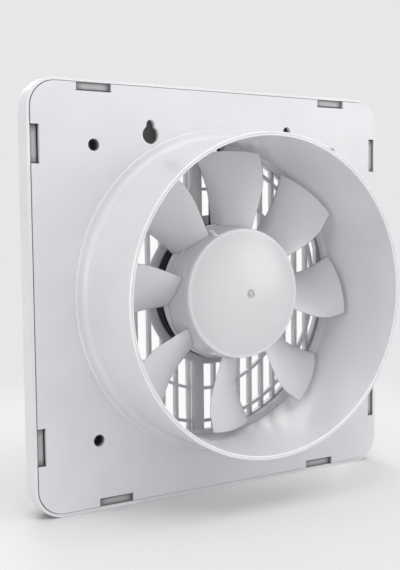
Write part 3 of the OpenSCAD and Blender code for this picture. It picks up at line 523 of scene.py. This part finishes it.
finishes["lead_blue"] = moulded_plastic("lead_blue", (0.018, 0.028, 0.062, 1), roughness=0.42,
                                        grain=700.0, grain_depth=0.02)
finishes["fuse_body"] = moulded_plastic("fuse_sleeve", (0.60, 0.56, 0.47, 1), roughness=0.35,
                                        grain=500.0, grain_depth=0.04)
print("plastics in all:", len(finishes))

# %% [markdown]
# ## Metals
# The metals are small but each has its own making: screws are zinc plated, the shaft is turned,
# the core is a stack of thin sheets, the coils are enamelled copper and the bushes are pressed
# from powder. One steel for all of them would be quicker, but each is known by its colour and
# its marks. So each is a metallic surface whose colour and roughness follow its making, and
# stripes across the fan's axis stand for turning marks or sheet edges.

# %% The builder for metals
wave_length = 314.0
finest_pits = 0.01


def metal(name, colour, roughness, stripe_pitch=None, stripe_depth=0.0, pits=finest_pits,
          coat=0.0, blotch=0.12):
    """Metal with stripes at a pitch in mm, or else with fine pits, under a coat if it has one.

    Blender's wave texture repeats every 314 mm at a scale of 1.
    """
    material, tree, shader, place = start_material(name, colour)
    shader.inputs["Metallic"].default_value = 1.0
    blotches = noise(tree, place, scale=220.0, detail=4.0, roughness=0.6)
    tone = smooth_range(tree, blotches, low=0.3, high=0.7)
    tint = mix_colour(tree, tone, shade(colour, 1.0 - blotch), shade(colour, 1.0 + blotch / 2))
    link(tree, tint, shader.inputs["Base Color"])
    rub = smooth_range(tree, noise(tree, place, scale=900.0, detail=3.0), low=0.25, high=0.75,
                       out_low=roughness - 0.07, out_high=roughness + 0.08)
    link(tree, rub, shader.inputs["Roughness"])
    if stripe_pitch:
        wave = new_node(tree, "ShaderNodeTexWave", wave_type="BANDS", bands_direction="Y")
        wave.inputs["Scale"].default_value = wave_length / stripe_pitch
        wave.inputs["Distortion"].default_value = 0.0
        link(tree, place, wave.inputs["Vector"])
        height, depth = wave.outputs["Fac"], stripe_depth
    else:
        height, depth = noise(tree, place, scale=1800.0, detail=3.0, roughness=0.7), pits
    press_in(tree, shader, height, depth, strength=0.5,
             rounded=rounded_edges(tree, radius=0.15))
    if coat:
        shader.inputs["Coat Weight"].default_value = coat
        shader.inputs["Coat Roughness"].default_value = 0.12
    return material


print("metal builder ready")

# %% Zinc, steel, copper, bronze and brass
sheet_pitch = 0.5
finishes["zinc_screw"] = metal("zinc_plate", (0.66, 0.67, 0.68, 1), roughness=0.30)
finishes["shaft_steel"] = metal("turned_steel", (0.60, 0.60, 0.61, 1), roughness=0.22,
                                stripe_pitch=0.3, stripe_depth=0.004)
finishes["core_steel"] = metal("sheet_stack", (0.33, 0.33, 0.34, 1), roughness=0.45,
                               stripe_pitch=sheet_pitch, stripe_depth=0.08)
finishes["rotor_alloy"] = metal("rotor_stack", (0.50, 0.50, 0.52, 1), roughness=0.40,
                                stripe_pitch=sheet_pitch, stripe_depth=0.05)
finishes["copper_wire"] = metal("enamelled_copper", (0.70, 0.27, 0.10, 1), roughness=0.28,
                                coat=0.7)
finishes["bronze"] = metal("pressed_bronze", (0.52, 0.34, 0.16, 1), roughness=0.42, pits=0.05)
finishes["brass"] = metal("turned_brass", (0.72, 0.54, 0.24, 1), roughness=0.27,
                          stripe_pitch=0.4, stripe_depth=0.006)
print("finishes in all:", len(finishes))

# %% [markdown]
# ## Dressing the solids
# Every solid has a named place for its material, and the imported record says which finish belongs
# there. Picking each object by hand would work too, but a loop over the record leaves none out.

# %% Give every solid its finish
slot_of = {part["node"]: part["material_slot"] for part in frame["record"]["subparts"]}
for name, solid in solids.items():
    for material_slot in solid.material_slots:
        material_slot.material = finishes[slot_of[name]]
print("dressed:", len(slot_of))

# %% [markdown]
# ## Smooth blades
# The swept blades are flat facets underneath, and real ones are one polished surface. The mesh
# could be made finer, but the solid's own mesh stays as it is. A modifier made of nodes does it
# on top: it welds the facets' corners and smooths every shallow edge, and it leaves the sharp
# tips and the hub's steps crisp.

# %% Smooth the swept blades
weld_reach = 0.002 * mm
crisp_from = math.radians(34)


def smooth_group(angle):
    group = bpy.data.node_groups.new("smooth_shallow_edges", "GeometryNodeTree")
    group.interface.new_socket("Geometry", in_out="INPUT", socket_type="NodeSocketGeometry")
    group.interface.new_socket("Geometry", in_out="OUTPUT", socket_type="NodeSocketGeometry")
    start = new_node(group, "NodeGroupInput")
    weld = new_node(group, "GeometryNodeMergeByDistance")
    weld.inputs["Distance"].default_value = weld_reach
    bend = new_node(group, "GeometryNodeInputMeshEdgeAngle")
    shallow = new_node(group, "FunctionNodeCompare", operation="LESS_THAN")
    shallow.inputs[1].default_value = angle
    faces = new_node(group, "GeometryNodeSetShadeSmooth")
    edges = new_node(group, "GeometryNodeSetShadeSmooth", domain="EDGE")
    end = new_node(group, "NodeGroupOutput")
    link(group, start.outputs[0], weld.inputs["Geometry"])
    link(group, weld.outputs["Geometry"], faces.inputs["Geometry"])
    link(group, faces.outputs["Geometry"], edges.inputs["Geometry"])
    link(group, bend.outputs["Unsigned Angle"], shallow.inputs[0])
    link(group, shallow.outputs["Result"], edges.inputs["Shade Smooth"])
    link(group, edges.outputs["Geometry"], end.inputs[0])
    return group


softened = solids["impeller"].modifiers.new("smooth_shallow_edges", "NODES")
softened.node_group = smooth_group(crisp_from)
print("blades smooth below", round(math.degrees(crisp_from)), "degrees")

# %% [markdown]
# ## The hub's crisp cap
# The hub ends in a shallow dome whose rim is nearly sharp and catches a bright arc of light. The
# solid's shoulder is rounder, so a thin cap lies on it: an outline of the real rim, the dome and
# the small gate mark in its middle, turned about the fan's axis. Turning an outline is the
# simplest way to any round part, and a modifier could do it, but a short loop keeps every ring
# where the outline says.

# %% Make a piece, and turn an outline about the fan's axis
def as_piece(name, mesh):
    """Makes a finished bmesh an object in the scene."""
    data = bpy.data.meshes.new(name)
    mesh.to_mesh(data)
    mesh.free()
    return into_scene(name, data)


def turned(name, outline, around=144):
    mesh = bmesh.new()
    rings = []
    for i in range(around):
        a = math.tau * i / around
        rings.append([mesh.verts.new((r * math.cos(a), y, r * math.sin(a))) for r, y in outline])
    for i in range(around):
        first, second = rings[i], rings[(i + 1) % around]
        for k in range(len(outline) - 1):
            mesh.faces.new((first[k], first[k + 1], second[k + 1], second[k])).smooth = True
    bmesh.ops.remove_doubles(mesh, verts=mesh.verts, dist=0.001 * mm)
    bmesh.ops.recalc_face_normals(mesh, faces=mesh.faces)
    return as_piece(name, mesh)


print("a tool that turns outlines is ready")

# %% The cap: skirt line, rim, dome and gate mark
nose, dome_fall, dome_power, dome_rings = 24.65, 5.4, 2.2, 14
rim_r, rim_round, rim_degrees = 30.3, 1.1, range(0, 76, 15)
skirt_r, skirt_y = 31.62, 15.0
gate_r, gate_floor, pip_r = 2.25, 23.7, 0.85


def dome(r):
    """How far out the dome lies at a distance r from the axis, in mm."""
    return nose - dome_fall * (r / rim_r) ** dome_power


rim_y = dome(rim_r) - rim_round
outline = [(skirt_r - 0.47, skirt_y - 0.1), (skirt_r, skirt_y), (skirt_r - 0.07, skirt_y + 0.5),
           (rim_r + rim_round, rim_y - 0.2)]
outline += [(rim_r + rim_round * math.cos(math.radians(a)),
             rim_y + rim_round * math.sin(math.radians(a))) for a in rim_degrees]
dome_radii = [rim_r * k / dome_rings for k in range(dome_rings, 1, -1)]
outline += [(r, dome(r)) for r in dome_radii]
outline += [(gate_r + 0.5, dome(gate_r + 0.5)), (gate_r + 0.15, dome(gate_r) + 0.02),
            (gate_r - 0.1, nose - 0.15), (gate_r - 0.35, gate_floor + 0.08),
            (gate_r - 0.6, gate_floor), (pip_r + 0.15, gate_floor), (pip_r, gate_floor + 0.15),
            (pip_r * 0.8, nose + 0.15), (pip_r * 0.4, nose + 0.32), (0.0, nose + 0.36)]
hub_cap = turned("hub_cap", [(r * mm, y * mm) for r, y in outline])
hub_cap.data.materials.append(finishes["impeller_plastic"])
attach(hub_cap, "fan")
print("hub cap:", len(hub_cap.data.polygons), "faces")

# %% [markdown]
# ## Inner leads
# Two insulated leads leave the motor at the top, pass between the upper arms, and run round the
# collar to the terminal block. A lead could be a curve object with a bevel, but then its shading
# and its export depend on the curve's settings. Here a smooth line is run through the same points
# as the solid lead, and a round tube is built round it.

# %% A smooth line through points, and a tube round it
def smooth_line(points, steps):
    """A line through the points, which at each one heads from its last neighbour to its next."""
    points = [Vector(p) for p in points]
    ends = [points[0] * 2 - points[1]] + points + [points[-1] * 2 - points[-2]]
    line = []
    for a, b, c, d in zip(ends, ends[1:], ends[2:], ends[3:]):
        for step in range(steps):
            t = step / steps
            line.append(0.5 * (2 * b + (c - a) * t + (2 * a - 5 * b + 4 * c - d) * t * t
                               + (3 * b - a - 3 * c + d) * t ** 3))
    return line + [points[-1]]


def add_tube(mesh, line, radius, sides):
    """Adds a closed round tube along a line, with a ring at each of its points."""
    turns = [math.tau * k / sides for k in range(sides)]
    side = (line[1] - line[0]).orthogonal().normalized()
    rings = []
    for i, point in enumerate(line):
        ahead = (line[min(i + 1, len(line) - 1)] - line[max(i - 1, 0)]).normalized()
        side = (side - ahead * side.dot(ahead)).normalized()
        other = ahead.cross(side)
        rings.append([mesh.verts.new(point + radius * (math.cos(a) * side + math.sin(a) * other))
                      for a in turns])
    for ring_a, ring_b in zip(rings, rings[1:]):
        for k in range(sides):
            face = mesh.faces.new((ring_a[k], ring_a[(k + 1) % sides],
                                   ring_b[(k + 1) % sides], ring_b[k]))
            face.smooth = True
    mesh.faces.new(reversed(rings[0]))
    mesh.faces.new(rings[-1])


def from_plate(x, y, z):
    """A point drawn as seen from the room, x right, y up and z out, in the frame's metres."""
    return Vector((x, -z, y)) * mm


print("lines and tubes are ready")

# %% The leads' routes
lead_z, block_z = 7.4, 5.2


def collar_run(radius, first, last, step=6):
    return [(radius * math.cos(math.radians(a)), radius * math.sin(math.radians(a)), lead_z)
            for a in range(first, last + 1, step)]


live_route = ([(2.6, 22.5, lead_z), (2.6, 30.5, lead_z), (2.6, 46, lead_z), (2.6, 64, lead_z),
               (2.6, 76, lead_z), (2.2, 81, lead_z), (-0.4, 85.6, lead_z), (-5, 87.6, lead_z),
               (-10.4, 87.4, lead_z), (-16, 85.4, lead_z), (-22, 82.2, lead_z),
               (-27.4, 79.2, lead_z)]
              + collar_run(radius=83, first=112, last=154)
              + [(-82.5, 30.2, 7.3), (-85.9, 27.2, 7), (-88.3, 23, 6.2), (-89.5, 19, block_z),
                 (-89.5, 16, block_z)])
neutral_route = ([(-2.6, 18.5, lead_z), (-2.6, 30.5, lead_z), (-2.6, 46, lead_z),
                  (-2.6, 64, lead_z), (-2.6, 76, lead_z), (-3, 80.4, lead_z),
                  (-5, 83.8, lead_z), (-8.6, 85, lead_z), (-13, 84, lead_z),
                  (-18, 81.2, lead_z), (-23.4, 77.8, lead_z)]
                 + collar_run(radius=80, first=110, last=162)
                 + [(-81.5, 24.6, 6.8), (-83.5, 21.4, 5.8), (-84.5, 18.4, block_z),
                    (-84.5, 16, block_z)])
print("points on the routes:", len(live_route), "and", len(neutral_route))

# %% Insulation along the routes
lead_radius, lead_sides, lead_steps = 0.9, 16, 6

for node, route in (("live_lead", live_route), ("neutral_lead", neutral_route)):
    line = smooth_line([from_plate(*p) for p in route], lead_steps)
    lead = bmesh.new()
    add_tube(lead, line, lead_radius * mm, lead_sides)
    piece = as_piece(node + "_insulation", lead)
    piece.data.materials.append(finishes[slot_of[node]])
    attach(piece, "housing")
    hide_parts(node)
    length = sum((b - a).length for a, b in zip(line, line[1:]))
    print(node, "length", round(length / mm), "mm")

# %% [markdown]
# ## Wound coils
# Inside the motor each pole carries a coil of fine enamelled wire. The solid is a plain sleeve;
# the real thing is one wire laid turn beside turn, layer on layer, with rounded corners. It could
# be faked with a striped bump, but the coil's outline would stay a block, so the wire itself is
# laid: one continuous line that walks along the pole and back while it climbs outward.

# %% One wire's way round its pole
wire_radius, wire_sides = 0.2, 6
pole_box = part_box("stator_windings")
core_middle = -(pole_box[0].y + pole_box[1].y) / 2 / mm
coil_start, coil_end = 16.2, 18.5
coil_half_width, coil_half_depth = 5.0, 7.0
layers, turns_in_layer, corner_steps = 3, 5, 4
layer_climb = 1.9 * wire_radius
corners = ((1, 1), (-1, 1), (-1, -1), (1, -1))


def wound_line(pole_angle):
    """One wire: round four corners in each turn, and a pitch along the pole with each turn.

    The second layer walks back over the first, and the third out again.
    """
    pitch = (coil_end - coil_start - 2 * wire_radius) / (turns_in_layer - 1)
    out = Vector((math.cos(pole_angle), math.sin(pole_angle), 0.0))
    across = Vector((-out.y, out.x, 0.0))
    points = []
    for layer in range(layers):
        grow = wire_radius + layer_climb * layer
        for turn in range(turns_in_layer):
            for side, (sx, sz) in enumerate(corners):
                for step in range(corner_steps):
                    share = (side + step / corner_steps) / len(corners)
                    walk = min(turn + share, turns_in_layer - 1)
                    walk = walk if layer % 2 == 0 else turns_in_layer - 1 - walk
                    angle = math.radians(90 * side + 90 * step / (corner_steps - 1))
                    place = (out * (coil_start + wire_radius + pitch * walk)
                             + across * (sx * coil_half_width + grow * math.cos(angle)))
                    z = core_middle + sz * coil_half_depth + grow * math.sin(angle)
                    points.append(from_plate(place.x, place.y, z))
    return points


print("points in one coil:", len(wound_line(0.0)))

# %% Four coils
pole_angles = [math.radians(a) for a in (45, 135, 225, 315)]
windings = bmesh.new()
for pole_angle in pole_angles:
    add_tube(windings, wound_line(pole_angle), wire_radius * mm, wire_sides)
coils = as_piece("wound_coils", windings)
coils.data.materials.append(finishes[slot_of["stator_windings"]])
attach(coils, "housing")
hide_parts("stator_windings")
print("coils:", len(pole_angles), "of", layers * turns_in_layer, "turns,",
      len(coils.data.polygons), "faces")
